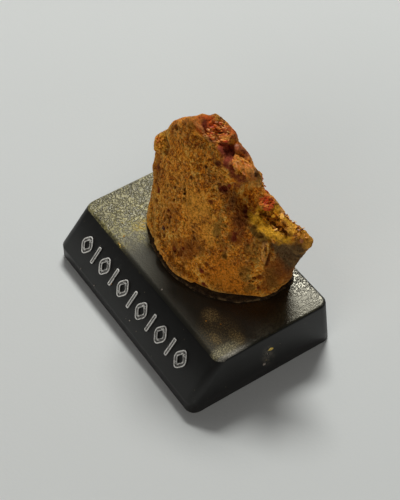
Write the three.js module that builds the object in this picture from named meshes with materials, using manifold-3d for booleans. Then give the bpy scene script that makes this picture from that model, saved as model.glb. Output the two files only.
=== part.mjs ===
// A mineral specimen on its display stand: a broken piece of realgar with orpiment, bedded in
// a puddle of glue on a hollow, moulded black stand with a sloping label face.
// Millimetres, +Z up. The origin is the middle of the stand's underside, +X runs along the
// label face, and +Y points from the label face to the back.
import * as THREE from "three";
import { ImprovedNoise } from "three/addons/math/ImprovedNoise.js";
import { mergeVertices } from "three/addons/utils/BufferGeometryUtils.js";
import Module from "manifold-3d";

const wasm = await Module();
wasm.setup();

// ---- driving dimensions ----

const stand = {
  length: 50,
  depth: 32,
  height: 10.5,
  skirt: 3, // upright band below the label face
  labelRun: 6.9, // how far the label face leans back over its height
  draft: 0.4, // inset of each wall at the top, so that the moulding leaves its tool
  cornerRadius: 2.0,
  topEdge: 0.6, // rounding along the edge of the top
  footEdge: 0.3, // rounding along the foot
  wall: 1.8,
};

const seat = stand.height + 0.5; // height of the stone's flat foot, on top of the glue

const glue = {
  thick: seat - stand.height,
  reach: 1.0, // how far the puddle spreads past the stone
  wander: 0.4, // how much that reach varies
  edge: 0.35, // rounding of its rim
};

const stone = {
  cell: 1.0, // edge of the modelling grid, which runs from low to high
  low: new THREE.Vector3(-18, -10, seat - 5),
  high: new THREE.Vector3(27, 21, 45),
  coarse: { size: 6.5, depth: 0.45 }, // long swells of the broken faces
  fine: { size: 2.3, depth: 0.3 }, // grain that shows from a step away
  bruise: 0.4, // how softly the outline and the hollows cut its edges
};

// ---- helpers ----

const vec = (x, y, z) => new THREE.Vector3(x, y, z);

// A manifold-3d solid from a geometry, with its shared vertices merged.
function solidOf(geometry) {
  const bare = geometry.clone();
  bare.deleteAttribute("normal");
  bare.deleteAttribute("uv");
  const merged = mergeVertices(bare, 1e-4);
  return new wasm.Manifold(
    new wasm.Mesh({
      numProp: 3,
      vertProperties: merged.attributes.position.array,
      triVerts: new Uint32Array(merged.index.array),
    }),
  );
}

// A geometry from a manifold-3d solid.
function geometryOf(solid) {
  const mesh = solid.getMesh();
  const geometry = new THREE.BufferGeometry();
  geometry.setAttribute("position", new THREE.BufferAttribute(mesh.vertProperties, 3));
  geometry.setIndex(new THREE.BufferAttribute(mesh.triVerts, 1));
  geometry.computeVertexNormals();
  return geometry;
}

// A closed skin over level rings that all have the same number of points, listed bottom to top.
// Each ring runs anticlockwise seen from above. The two ends are closed by fans.
function loft(rings) {
  const count = rings[0].length;
  const points = rings.flat();
  const triangles = [];
  for (let level = 0; level + 1 < rings.length; level++)
    for (let i = 0; i < count; i++) {
      const a = level * count + i;
      const b = level * count + ((i + 1) % count);
      triangles.push(a, b, b + count, a, b + count, a + count);
    }
  for (const level of [0, rings.length - 1]) {
    const centre = rings[level].reduce((sum, p) => sum.add(p), vec(0, 0, 0)).divideScalar(count);
    const hub = points.push(centre) - 1;
    for (let i = 0; i < count; i++) {
      const a = level * count + i;
      const b = level * count + ((i + 1) % count);
      triangles.push(...(level === 0 ? [hub, b, a] : [hub, a, b]));
    }
  }
  const geometry = new THREE.BufferGeometry().setFromPoints(points);
  geometry.setIndex(triangles);
  geometry.computeVertexNormals();
  return geometry;
}

// A level ring: a rectangle with rounded corners, at height z.
function roundedRing({ left, right, front, back }, radius, z) {
  const steps = 6; // per corner
  const corners = [
    { x: right - radius, y: front + radius, start: -Math.PI / 2 },
    { x: right - radius, y: back - radius, start: 0 },
    { x: left + radius, y: back - radius, start: Math.PI / 2 },
    { x: left + radius, y: front + radius, start: Math.PI },
  ];
  return corners.flatMap(({ x, y, start }) =>
    Array.from({ length: steps + 1 }, (_, i) => {
      const angle = start + (i / steps) * (Math.PI / 2);
      return vec(x + radius * Math.cos(angle), y + radius * Math.sin(angle), z);
    }),
  );
}

// ---- the stand ----

// The stand's plan at height z, moved in by inset all round.
function standPlan(z, inset = 0) {
  const draft = (stand.draft * z) / stand.height;
  const climbed = Math.max(0, z - stand.skirt) / (stand.height - stand.skirt);
  const right = stand.length / 2 - draft - inset;
  const back = stand.depth / 2 - draft - inset;
  const skirtFront = -stand.depth / 2 + (stand.draft * Math.min(z, stand.skirt)) / stand.height;
  return { left: -right, right, front: skirtFront + stand.labelRun * climbed + inset, back };
}

function standGeometry() {
  const { height, skirt, cornerRadius, topEdge, footEdge, wall } = stand;
  const rings = [
    roundedRing(standPlan(0, footEdge), cornerRadius - footEdge, 0),
    roundedRing(standPlan(footEdge), cornerRadius, footEdge),
    roundedRing(standPlan(skirt - 0.3), cornerRadius, skirt - 0.3),
    roundedRing(standPlan(skirt), cornerRadius, skirt + 0.1),
  ];
  const edgeSteps = 4;
  for (let i = 0; i <= edgeSteps; i++) {
    const angle = (i / edgeSteps) * (Math.PI / 2);
    const z = height - topEdge * (1 - Math.sin(angle));
    const inset = topEdge * (1 - Math.cos(angle));
    rings.push(roundedRing(standPlan(z, inset), cornerRadius - inset, z));
  }
  const hollowRadius = cornerRadius - wall / 2;
  const hollow = loft([
    roundedRing(standPlan(0, wall), hollowRadius, -1),
    roundedRing(standPlan(skirt, wall), hollowRadius, skirt),
    roundedRing(standPlan(height - wall, wall), hollowRadius, height - wall),
  ]);
  return geometryOf(solidOf(loft(rings)).subtract(solidOf(hollow)));
}

// ---- the stone ----

// The stone's outline is drawn square to its broad side, which looks to the right, forward and up.
const broadside = {
  centre: vec(6.9, 5.4, 26),
  turn: THREE.MathUtils.degToRad(58.7), // from the front towards the right
  rise: THREE.MathUtils.degToRad(46.2), // above level
  taper: 236, // distance over which its sides would draw together to a point
};
const outward = vec(
  Math.sin(broadside.turn) * Math.cos(broadside.rise),
  -Math.cos(broadside.turn) * Math.cos(broadside.rise),
  Math.sin(broadside.rise),
);
const sideways = vec(Math.cos(broadside.turn), Math.sin(broadside.turn), 0);
const upward = outward.clone().cross(sideways);

// Points along the broad side's outline, clockwise from the dome at the top: sideways, upward.
const outline = [
  [-3.7, 18.0], [-1.6, 17.5], [0.0, 16.6], [1.0, 15.4], [2.0, 13.4], [3.4, 12.3], // dome
  [4.7, 9.9], [5.4, 8.1], [7.0, 6.2], [6.7, 4.4], // knob, and the neck below it
  [8.7, 2.0], [10.5, -0.4], [11.4, -2.2], [13.5, -3.6], // ragged ridge
  [14.7, -5.1], [15.1, -6.6], [12.7, -9.0], [11.6, -10.6], [10.6, -12.9], // right tip
  [7.7, -15.0], [4.7, -16.6], [2.2, -16.4], [-1.2, -15.3], [-6.4, -13.1], // lower edge
  [-10.4, -11.1], [-11.7, -9.5], [-12.4, -6.6], [-14.0, -3.2], // lower left
  [-14.8, -1.1], [-14.6, 0.9], [-13.6, 4.1], [-13.4, 7.0], [-13.3, 11.9], // left side
  [-12.4, 14.6], [-11.6, 15.3], [-10.7, 15.3], [-9.1, 16.8], [-7.0, 17.7], // left shoulder
].map(([x, y]) => new THREE.Vector2(x, y));

// Broken faces that bound the stone: a point on each, its outward direction, and the width over
// which it rounds into the faces named before it.
const faces = [
  { name: "foot, below the seat", at: vec(0, 0, seat - 1.6), out: vec(0, 0, -1), soft: 1 },
  { name: "broad front", at: vec(4.6, -4.6, 11), out: vec(0.39, -0.85, 0.34), soft: 1 },
  { name: "left of the front", at: vec(-2.6, -5.0, 11), out: vec(-0.2, -0.94, 0.27), soft: 4.5 },
  { name: "right of the front", at: vec(14.3, 1.1, 11), out: vec(0.58, -0.77, 0.26), soft: 2 },
  { name: "right facet", at: vec(17.1, 5.7, 11), out: vec(0.71, -0.69, 0.13), soft: 0.4 },
  { name: "right undercut", at: vec(18.1, 12.2, 12), out: vec(0.94, 0.1, -0.31), soft: 1 },
  { name: "ridge", at: vec(5.1, 7.9, 35.0), out: vec(0.46, -0.69, 0.56), soft: 1 },
  { name: "left end", at: vec(-14.2, 0, 22), out: vec(-0.97, -0.22, 0.08), soft: 2 },
  { name: "left back", at: vec(-9.8, 9, 22), out: vec(-0.72, 0.66, 0.12), soft: 1.5 },
  { name: "back", at: vec(4, 13.4, 20), out: vec(-0.06, 0.99, -0.02), soft: 1 },
  { name: "back crest", at: vec(0, 12.2, 34.5), out: vec(-0.25, 0.8, 0.55), soft: 0.8 },
  { name: "right back", at: vec(19, 14.6, 20), out: vec(0.3, 0.95, 0.05), soft: 1 },
];
for (const face of faces) face.out.normalize();

// Crystals and ledges that stand proud of the broken faces: place, half sizes, turn, and how far
// each one melts into its neighbours.
const lumps = [
  {
    name: "dome",
    at: vec(-2.2, 8.8, 37.4),
    half: vec(4.4, 2.2, 1.9),
    turn: [0.3, 0.35, 0.3],
    melt: 1,
  },
  {
    name: "left shoulder",
    at: vec(-11.6, 2.9, 31.4),
    half: vec(1.8, 2.0, 2.4),
    turn: [0, 0.3, 0],
    melt: 1.2,
  },
  {
    name: "pink nub",
    at: vec(4.4, 10.2, 37.4),
    half: vec(1.3, 1.0, 1.2),
    turn: [0.5, 0.9, 0.2],
    melt: 0.3,
  },
  {
    name: "orange block",
    at: vec(6.2, 9.5, 34.9),
    half: vec(2.3, 1.3, 1.7),
    turn: [0.2, 0.6, 0.5],
    melt: 0.9,
  },
  {
    name: "knob",
    at: vec(9.4, 10.4, 33.6),
    half: vec(1.5, 1.6, 1.3),
    turn: [0.4, 0.3, 0.7],
    melt: 0.5,
  },
  {
    name: "crimson block",
    at: vec(12.2, 10.4, 30.4),
    half: vec(1.7, 1.3, 1.2),
    turn: [0.7, 0.6, 0.2],
    melt: 0.4,
  },
  {
    name: "pocket rim",
    at: vec(16.2, 12.2, 27.4),
    half: vec(2.6, 1.1, 1.1),
    turn: [0.1, 0.6, 0.2],
    melt: 0.6,
  },
  {
    name: "tip",
    at: vec(18.6, 11.6, 24.6),
    half: vec(2.4, 1.8, 1.9),
    turn: [0.3, 0.7, 0.1],
    melt: 0.8,
  },
  {
    name: "pocket sill",
    at: vec(14.4, 7.6, 24.0),
    half: vec(2.2, 0.9, 0.8),
    turn: [0.1, 0.25, 0.6],
    melt: 0.6,
  },
  {
    name: "left ledge",
    at: vec(-10.6, 2.6, 17.5),
    half: vec(1.4, 2.6, 4.0),
    turn: [0.1, -0.2, 0.25],
    melt: 1.6,
  },
];
for (const lump of lumps)
  lump.back = new THREE.Matrix4().makeRotationFromEuler(new THREE.Euler(...lump.turn)).transpose();

// Hollows broken out of it: place and half sizes.
const hollows = [
  { name: "orpiment pocket", at: vec(15.1, 8.4, 28.2), half: vec(3.4, 2.2, 2.6) },
  { name: "slit in the pocket", at: vec(16.6, 10.2, 26.2), half: vec(1.9, 1.6, 0.8) },
  { name: "neck", at: vec(11.5, 11.6, 32.7), half: vec(1.1, 2.4, 1.1) },
  { name: "smooth patch below the dome", at: vec(4.6, 5.6, 37.4), half: vec(2.2, 1.6, 2.6) },
  { name: "groove below the sill", at: vec(14.9, 4.9, 21.2), half: vec(0.6, 1.0, 2.4) },
  { name: "scoop in the back", at: vec(2, 17.2, 27), half: vec(6.5, 4.4, 7.5) },
  { name: "chip in the back", at: vec(11, 16, 18), half: vec(3.6, 3.0, 3.2) },
];

const noise = new ImprovedNoise();

// The larger of two distances, with the corner between them rounded over the width k.
function softMax(a, b, k) {
  const h = Math.max(k - Math.abs(a - b), 0) / k;
  return Math.max(a, b) + (h * h * k) / 4;
}

const softMin = (a, b, k) => -softMax(-a, -b, k);

// Signed distance from the outline, below 0 inside it.
function outlineDistance(x, y) {
  let nearest = Infinity;
  let inside = false;
  for (let i = 0, j = outline.length - 1; i < outline.length; j = i++) {
    const a = outline[i];
    const b = outline[j];
    const along = b.clone().sub(a);
    const reach = new THREE.Vector2(x, y).sub(a);
    const t = THREE.MathUtils.clamp(reach.dot(along) / along.lengthSq(), 0, 1);
    nearest = Math.min(nearest, reach.sub(along.multiplyScalar(t)).length());
    if (a.y > y !== b.y > y && x < ((b.x - a.x) * (y - a.y)) / (b.y - a.y) + a.x) inside = !inside;
  }
  return inside ? -nearest : nearest;
}

// Signed distance from a lump: a box with its edges rounded.
function lumpDistance(p, { at, half, back }) {
  const edge = Math.min(half.x, half.y, half.z) * 0.5;
  const local = p.clone().sub(at).applyMatrix4(back);
  const over = vec(Math.abs(local.x), Math.abs(local.y), Math.abs(local.z)).sub(half).addScalar(edge);
  const outside = vec(Math.max(over.x, 0), Math.max(over.y, 0), Math.max(over.z, 0)).length();
  return outside + Math.min(Math.max(over.x, over.y, over.z), 0) - edge;
}

// About the distance from an ellipsoid.
function hollowDistance(p, { at, half }) {
  const reach = p.clone().sub(at).divide(half).length();
  return (reach - 1) * Math.min(half.x, half.y, half.z);
}

function grain(p, { size, depth }) {
  return depth * noise.noise(p.x / size + 9.3, p.y / size + 4.1, p.z / size + 2.7);
}

// Signed distance from the stone's surface, below 0 inside it. The seat cuts it off flat later.
function stoneDistance(p) {
  let d = -Infinity;
  for (const { at, out, soft } of faces) d = softMax(d, p.clone().sub(at).dot(out), soft);
  for (const lump of lumps) d = softMin(d, lumpDistance(p, lump), lump.melt);
  for (const hollow of hollows) d = softMax(d, -hollowDistance(p, hollow), stone.bruise);
  const from = p.clone().sub(broadside.centre);
  const draw = 1 - from.dot(outward) / broadside.taper;
  d = softMax(d, outlineDistance(from.dot(sideways) / draw, from.dot(upward) / draw), stone.bruise);
  const swell = Math.abs(grain(p, stone.coarse)) - stone.coarse.depth * 0.3;
  return d + grain(p, stone.fine) - swell;
}

// A closed net of quads over the surface where distance(p) is 0, on a grid that holds it all.
// Each cell that the surface crosses has one vertex, drawn onto the surface.
function netOver(distance, { low, high, cell }) {
  const count = high.clone().sub(low).divideScalar(cell).ceil().addScalar(1);
  const [nx, ny, nz] = count.toArray();
  const at = (i, j, k) => i + nx * (j + ny * k);
  const place = (i, j, k) => vec(low.x + i * cell, low.y + j * cell, low.z + k * cell);
  const value = new Float64Array(nx * ny * nz);
  for (let k = 0; k < nz; k++)
    for (let j = 0; j < ny; j++)
      for (let i = 0; i < nx; i++) value[at(i, j, k)] = distance(place(i, j, k));

  const corners = [0, 1, 2, 3, 4, 5, 6, 7].map((c) => [c & 1, (c >> 1) & 1, (c >> 2) & 1]);
  unpinch(value, [nx, ny, nz], corners, cell * 0.02);

  const vertexOf = new Int32Array(nx * ny * nz).fill(-1);
  const points = [];
  const edges = [
    [0, 1], [2, 3], [4, 5], [6, 7], [0, 2], [1, 3], [4, 6], [5, 7], [0, 4], [1, 5], [2, 6], [3, 7],
  ];
  for (let k = 0; k + 1 < nz; k++)
    for (let j = 0; j + 1 < ny; j++)
      for (let i = 0; i + 1 < nx; i++) {
        const crossings = [];
        for (const [a, b] of edges) {
          const [p, q] = [corners[a], corners[b]].map(([x, y, z]) => [i + x, j + y, k + z]);
          const from = value[at(...p)];
          const to = value[at(...q)];
          if (from < 0 !== to < 0) crossings.push(place(...p).lerp(place(...q), from / (from - to)));
        }
        if (!crossings.length) continue;
        const middle = crossings.reduce((sum, p) => sum.add(p), vec(0, 0, 0));
        vertexOf[at(i, j, k)] = points.length;
        points.push(settle(distance, middle.divideScalar(crossings.length), cell));
      }

  // The quad over four cells round a grid edge, split along its shorter diagonal. It faces along
  // the edge where the edge leaves the solid, and back along it where the edge enters.
  const triangles = [];
  const quad = (cells, leaves) => {
    const [a, b, c, d] = cells.map((one) => vertexOf[at(...one)]);
    const short = points[a].distanceTo(points[c]) <= points[b].distanceTo(points[d]);
    const cut = short ? [a, b, c, a, c, d] : [a, b, d, b, c, d];
    triangles.push(...(leaves ? cut : cut.reverse()));
  };
  for (let k = 1; k + 1 < nz; k++)
    for (let j = 1; j + 1 < ny; j++)
      for (let i = 1; i + 1 < nx; i++) {
        const here = value[at(i, j, k)] < 0;
        if (here !== value[at(i + 1, j, k)] < 0)
          quad([[i, j, k], [i, j - 1, k], [i, j - 1, k - 1], [i, j, k - 1]], here);
        if (here !== value[at(i, j + 1, k)] < 0)
          quad([[i, j, k], [i, j, k - 1], [i - 1, j, k - 1], [i - 1, j, k]], here);
        if (here !== value[at(i, j, k + 1)] < 0)
          quad([[i, j, k], [i - 1, j, k], [i - 1, j - 1, k], [i, j - 1, k]], here);
      }
  const geometry = new THREE.BufferGeometry().setFromPoints(points);
  geometry.setIndex(triangles);
  return geometry;
}

// Fills grid corners where two filled ones would meet across a diagonal only, until none do, so
// that no edge of the net joins more than two of its quads.
function unpinch(value, [nx, ny, nz], corners, depth) {
  const squares = [
    [0, 1, 3, 2], [4, 5, 7, 6], [0, 1, 5, 4], [2, 3, 7, 6], [0, 2, 6, 4], [1, 3, 7, 5],
  ];
  const diagonals = [[0, 7], [1, 6], [2, 5], [3, 4]];
  for (let filled = true; filled; ) {
    filled = false;
    for (let k = 0; k + 1 < nz; k++)
      for (let j = 0; j + 1 < ny; j++)
        for (let i = 0; i + 1 < nx; i++) {
          const index = corners.map(([x, y, z]) => i + x + nx * (j + y + ny * (k + z)));
          const full = (c) => value[index[c]] < 0;
          for (const [a, b, c, d] of squares)
            if (full(a) === full(c) && full(b) === full(d) && full(a) !== full(b)) {
              value[index[full(a) ? b : a]] = -depth;
              filled = true;
            }
          const count = index.filter((n) => value[n] < 0).length;
          for (const [a, b] of diagonals)
            if (full(a) === full(b) && count === (full(a) ? 2 : 6)) {
              value[index[full(a) ? a ^ 1 : a]] = -depth;
              filled = true;
            }
        }
  }
}

// Draws a point along the slope of the distance onto the surface, without leaving its cell by much.
function settle(distance, point, cell) {
  const start = point.clone();
  const step = cell / 10;
  for (let round = 0; round < 3; round++) {
    const here = distance(point);
    const slope = vec(
      distance(point.clone().add(vec(step, 0, 0))) - here,
      distance(point.clone().add(vec(0, step, 0))) - here,
      distance(point.clone().add(vec(0, 0, step))) - here,
    ).divideScalar(step);
    point.sub(slope.multiplyScalar(here / Math.max(slope.lengthSq(), 0.3)));
  }
  return point.sub(start).clampLength(0, cell * 0.35).add(start);
}

function stoneGeometry() {
  const net = netOver(stoneDistance, stone);
  const below = 20;
  const underSeat = new THREE.BoxGeometry(80, 80, below).translate(0, 0, seat - below / 2);
  const pieces = solidOf(net).subtract(solidOf(underSeat)).decompose();
  pieces.sort((a, b) => b.volume() - a.volume());
  return geometryOf(pieces[0]);
}

// ---- the glue ----

// The puddle follows the stone's foot, which is measured on rays from a point inside the foot and
// evened out along the rim.
function glueGeometry() {
  const centre = vec(3.5, 4.5, seat + 0.4);
  const rays = 48;
  const directions = Array.from({ length: rays }, (_, i) => {
    const angle = (i / rays) * 2 * Math.PI;
    return vec(Math.cos(angle), Math.sin(angle), 0);
  });
  const feet = directions.map((ray) => {
    let foot = 2;
    while (stoneDistance(centre.clone().addScaledVector(ray, foot)) < 0) foot += 0.1;
    return foot;
  });
  const spread = 3; // rays to each side that a stretch of the rim is evened over
  const reaches = directions.map((ray, i) => {
    const near = [];
    for (let k = -spread; k <= spread; k++) near.push(feet[(i + k + rays) % rays]);
    const even = near.reduce((sum, foot) => sum + foot, 0) / near.length;
    const wander = glue.wander * 2 * noise.noise(ray.x * 1.6 + 5.2, ray.y * 1.6, 7.7);
    return Math.max(even, feet[i] - 0.2) + glue.reach + wander;
  });
  const ring = (inset, z) =>
    directions.map((ray, i) => vec(centre.x, centre.y, z).addScaledVector(ray, reaches[i] - inset));
  const { edge, thick } = glue;
  const bottom = stand.height;
  return loft([
    ring(edge * 0.3, bottom),
    ring(0, bottom + thick * 0.25),
    ring(edge * 0.3, bottom + thick * 0.7),
    ring(edge * 1.2, bottom + thick),
  ]);
}

// ---- the object ----

function piece(name, geometry, color, roughness) {
  const mesh = new THREE.Mesh(
    geometry,
    new THREE.MeshStandardMaterial({ color, roughness, metalness: 0, flatShading: true }),
  );
  mesh.name = name;
  return mesh;
}

const specimen = new THREE.Group();
specimen.add(
  piece("stand", standGeometry(), 0x23221f, 0.45),
  piece("glue", glueGeometry(), 0x2a231b, 0.2),
  piece("stone", stoneGeometry(), 0xb0701f, 0.85),
);

export default specimen;
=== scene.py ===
import math
import random

import bpy
import numpy as np
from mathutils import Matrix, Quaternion, Vector, noise


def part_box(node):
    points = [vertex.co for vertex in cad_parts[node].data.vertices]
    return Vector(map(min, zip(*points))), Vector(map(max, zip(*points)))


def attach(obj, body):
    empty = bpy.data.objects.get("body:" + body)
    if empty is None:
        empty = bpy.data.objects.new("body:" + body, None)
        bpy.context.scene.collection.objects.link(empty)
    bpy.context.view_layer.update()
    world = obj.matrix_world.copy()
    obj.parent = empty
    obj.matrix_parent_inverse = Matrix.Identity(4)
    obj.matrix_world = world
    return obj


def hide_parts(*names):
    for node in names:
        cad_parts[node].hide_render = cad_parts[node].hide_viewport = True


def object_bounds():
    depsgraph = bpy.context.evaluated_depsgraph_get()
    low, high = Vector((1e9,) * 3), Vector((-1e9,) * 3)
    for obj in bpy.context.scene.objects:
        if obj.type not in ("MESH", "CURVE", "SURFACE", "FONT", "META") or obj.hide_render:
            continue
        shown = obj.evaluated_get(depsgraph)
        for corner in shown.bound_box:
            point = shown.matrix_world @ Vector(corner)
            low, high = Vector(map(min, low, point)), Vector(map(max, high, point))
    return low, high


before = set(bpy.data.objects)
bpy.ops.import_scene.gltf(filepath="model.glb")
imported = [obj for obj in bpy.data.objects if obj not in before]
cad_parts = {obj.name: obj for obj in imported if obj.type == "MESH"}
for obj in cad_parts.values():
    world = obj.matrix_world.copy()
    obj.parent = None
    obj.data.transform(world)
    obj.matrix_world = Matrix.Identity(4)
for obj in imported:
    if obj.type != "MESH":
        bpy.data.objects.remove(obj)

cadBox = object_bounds()
mm = 0.001
mesh = bpy.ops.mesh
noise.seed_set(1)  # else noise_vector takes its offsets from the clock
print("frame loaded")


def makeActive(piece):
    bpy.ops.object.select_all(action="DESELECT")
    piece.select_set(True)
    bpy.context.view_layer.objects.active = piece


def openMesh():
    # edits the active piece, with all of it selected
    bpy.ops.object.mode_set(mode="EDIT")
    mesh.select_all(action="SELECT")
    return bpy.context.object


def closeMesh():
    # turns the faces outwards and leaves edit mode
    mesh.select_all(action="SELECT")
    mesh.normals_make_consistent(inside=False)
    bpy.ops.object.mode_set(mode="OBJECT")


def anotherOf(pattern):
    piece = pattern.copy()
    piece.data = pattern.data.copy()
    bpy.context.scene.collection.objects.link(piece)
    return piece


def copyNode(node, name):
    # a merged copy of a CAD node, ready to be worked on
    piece = anotherOf(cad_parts[node])
    piece.name = name
    piece.parent = None
    for key in list(piece.keys()):
        del piece[key]
    piece.hide_render = False
    piece.data.materials.clear()
    makeActive(piece)
    openMesh()
    mesh.remove_doubles(threshold=0.002 * mm)
    closeMesh()
    return piece


def applyModifier(piece, kind, **settings):
    makeActive(piece)
    modifier = piece.modifiers.new(kind.title(), kind)
    for key, value in settings.items():
        setattr(modifier, key, value)
    bpy.ops.object.modifier_apply(modifier=modifier.name)


def selectFaces(piece, wanted):
    # in edit mode: leaves selected only the faces that wanted(centre, normal) picks
    mesh.select_all(action="DESELECT")
    bpy.ops.object.mode_set(mode="OBJECT")
    for face in piece.data.polygons:
        face.select = bool(wanted(face.center, face.normal))
    bpy.ops.object.mode_set(mode="EDIT")


def smoothShade(degrees):
    bpy.ops.object.shade_smooth_by_angle(angle=math.radians(degrees))


def settle(piece):
    # the object goes to the origin, unturned and unscaled, with its place in its mesh
    makeActive(piece)
    bpy.ops.object.transform_apply(location=True, rotation=True, scale=True)


def joinAll(pieces, name):
    makeActive(pieces[0])
    for piece in pieces:
        piece.select_set(True)
    bpy.ops.object.join()
    pieces[0].name = name
    settle(pieces[0])
    return pieces[0]


def tintWhole(piece, colour):
    layer = piece.data.color_attributes.new("tint", "FLOAT_COLOR", "POINT")
    layer.data.foreach_set("color", np.tile([*colour, 1.0], len(piece.data.vertices)))


def pointsOf(piece, what="co"):
    # each point in millimetres, or with "normal" the way that it faces
    values = np.empty(len(piece.data.vertices) * 3)
    if what == "co":
        piece.data.vertices.foreach_get("co", values)
        return values.reshape(-1, 3) / mm
    piece.data.vertex_normals.foreach_get("vector", values)
    return values.reshape(-1, 3)


def movePoints(piece, points):
    piece.data.vertices.foreach_set("co", (points * mm).ravel())
    piece.data.update()


class Wire:
    # one value on its way through a material
    def __init__(self, board, socket):
        self.board = board
        self.socket = socket


def sign(operation):
    def plain(a, b):
        return a.board.math(operation, a, b)

    def turned(a, b):
        return a.board.math(operation, b, a)
    return plain, turned


# sums written with wires add Math nodes
Wire.__add__, Wire.__radd__ = sign("ADD")
Wire.__sub__, Wire.__rsub__ = sign("SUBTRACT")
Wire.__mul__, Wire.__rmul__ = sign("MULTIPLY")


class Board:
    # one material, wired up from sums, noises and patches
    def __init__(self, name):
        self.material = bpy.data.materials.new(name)
        self.material.use_nodes = True
        self.tree = self.material.node_tree
        self.tree.nodes.clear()
        place = self.node("TexCoord", {}, "Object")
        self.mm = self.vector("SCALE", place, Scale=1.0 / mm)  # the place in millimetres

    def node(self, kind, inputs, output=0, **settings):
        made = self.tree.nodes.new("ShaderNode" + kind)
        for key, value in settings.items():
            setattr(made, key, value)
        for key, value in inputs.items():
            if isinstance(value, Wire):
                self.tree.links.new(value.socket, made.inputs[key])
            else:
                made.inputs[key].default_value = value
        return Wire(self, made.outputs[output])

    def math(self, operation, a, b=0.0):
        return self.node("Math", {0: a, 1: b}, operation=operation)

    def vector(self, operation, a, b=None, output=0, **named):
        inputs = {0: a, **named}
        if b is not None:
            inputs[1] = b
        return self.node("VectorMath", inputs, output, operation=operation)

    def noise(self, size, detail=2.0, rough=0.5, at=None, output=0):
        # size is the width of a swell in millimetres
        inputs = {"Vector": at or self.mm, "Scale": 1.0 / size, "Detail": detail, "Roughness": rough}
        return self.node("TexNoise", inputs, output)

    def cells(self, size, at=None, output="Distance"):
        return self.node("TexVoronoi", {"Vector": at or self.mm, "Scale": 1.0 / size}, output)

    def height(self):
        # millimetres above the foot of the stand
        return self.node("SeparateXYZ", {0: self.mm}, "Z")

    def drift(self, size):
        # a smooth random vector round zero
        return self.vector("SUBTRACT", self.noise(size, 3, output="Color"), (0.5, 0.5, 0.5))

    def veins(self, size, width, at, detail=3.0):
        # thin wandering lines, 1 on the line and 0 beside it
        return self.fall(self.math("ABSOLUTE", self.noise(size, detail, 0.6, at=at) - 0.5), 0.0, width)

    def shift(self, x, y, z, at=None):
        # another part of the same endless pattern
        return self.vector("ADD", at or self.mm, (x, y, z))

    def rise(self, value, low, high, start=0.0, end=1.0):
        # 0 below low, 1 above high, smooth between
        inputs = {"Value": value, "From Min": low, "From Max": high, "To Min": start, "To Max": end}
        return self.node("MapRange", inputs, interpolation_type="SMOOTHSTEP")

    def fall(self, value, low, high):
        return self.rise(value, low, high, 1.0, 0.0)

    def mix(self, share, a, b):
        def colour(value):
            return value if isinstance(value, Wire) else (*value, 1.0)
        return self.node("Mix", {0: share, 6: colour(a), 7: colour(b)}, 2, data_type="RGBA")

    def ramp(self, value, stops):
        made = self.node("ValToRGB", {0: value})
        steps = made.socket.node.color_ramp.elements
        while len(steps) < len(stops):
            steps.new(0.5)
        for step, (position, colour) in zip(steps, stops):
            step.position = position
            step.color = (*colour, 1.0)
        return made

    def stored(self, name, output="Color"):
        # what was laid on the points of the mesh under this name
        return self.node("Attribute", {}, output, attribute_name=name)

    def patch(self, at, reach, soft=0.45, near=None):
        # 1 inside an ellipsoid of millimetres round a place, 0 outside
        share = self.vector("DIVIDE", self.vector("SUBTRACT", near or self.mm, at), reach)
        return self.fall(self.vector("LENGTH", share, output=1), 1.0 - soft, 1.0 + soft)

    def bump(self, height, depth, under=None):
        # depth is in millimetres for a height of 1
        inputs = {"Height": height, "Distance": depth * mm, "Strength": 1.0}
        if under is not None:
            inputs["Normal"] = under
        return self.node("Bump", inputs)

    def shade(self, colour, roughness, normal, **constants):
        inputs = {"Base Color": colour, "Roughness": roughness, "Normal": normal, **constants}
        shader = self.node("BsdfPrincipled", inputs)
        out = self.tree.nodes.new("ShaderNodeOutputMaterial")
        self.tree.links.new(shader.socket, out.inputs["Surface"])
        return self.material


stone = {
    "voxel": 0.2,  # mm, of the fine skin
    "merge": 0.5,  # how far the fine skin is smoothed
    "swell": 0.42,  # mm, of the uneven broken faces
    "blocks": 0.55,  # mm, of the broken ridge
    "blades": 0.8,  # mm, of the floor of the pocket
    "grain": 0.34,
    "grit": 0.42,
    "footCalm": (0.25, 0.8),  # mm: the carving starts so high, and grows over so much
    "topCalm": 1.4,  # mm below the top where it fades
    "mostCarved": 0.9,  # mm
    "carveSway": ((0.55, 1.1), (0.3, 0.45)),  # mm, reach and size of the drifts that ruffle edges
    "stainSway": ((0.7, 1.4), (0.35, 0.5)),
    "pitDeep": 0.5,  # of a pit's radius
    "pitWide": 0.8,
    "pitStain": 0.85,
    "reliefRange": 0.3,  # mm, from the deepest hollow to the proudest crest
    "reliefReach": 10,  # rings of points that a point is compared with
    "ramp": [  # the ochre ground, from its dark grains to its pale ones
        (0.422, (0.19, 0.036, 0.003)),
        (0.458, (0.5, 0.126, 0.009)),
        (0.494, (0.88, 0.288, 0.017)),
        (0.526, (1.0, 0.43, 0.038)),
        (0.56, (1.0, 0.65, 0.15)),
    ],
    "speck": (0.155, 0.034, 0.007),
    "rust": (0.6, 0.15, 0.014),
    # painted highlight along the crest lines
    "crest": (0.98, 0.52, 0.12),
    # painted highlight on proud crests, and painted shade in hollows
    "proudHighlight": (0.98, 0.54, 0.14),
    "hollowShade": (0.08, 0.012, 0.002),
    "stainGrain": (0.05, 0.01, 0.002),
}
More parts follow.
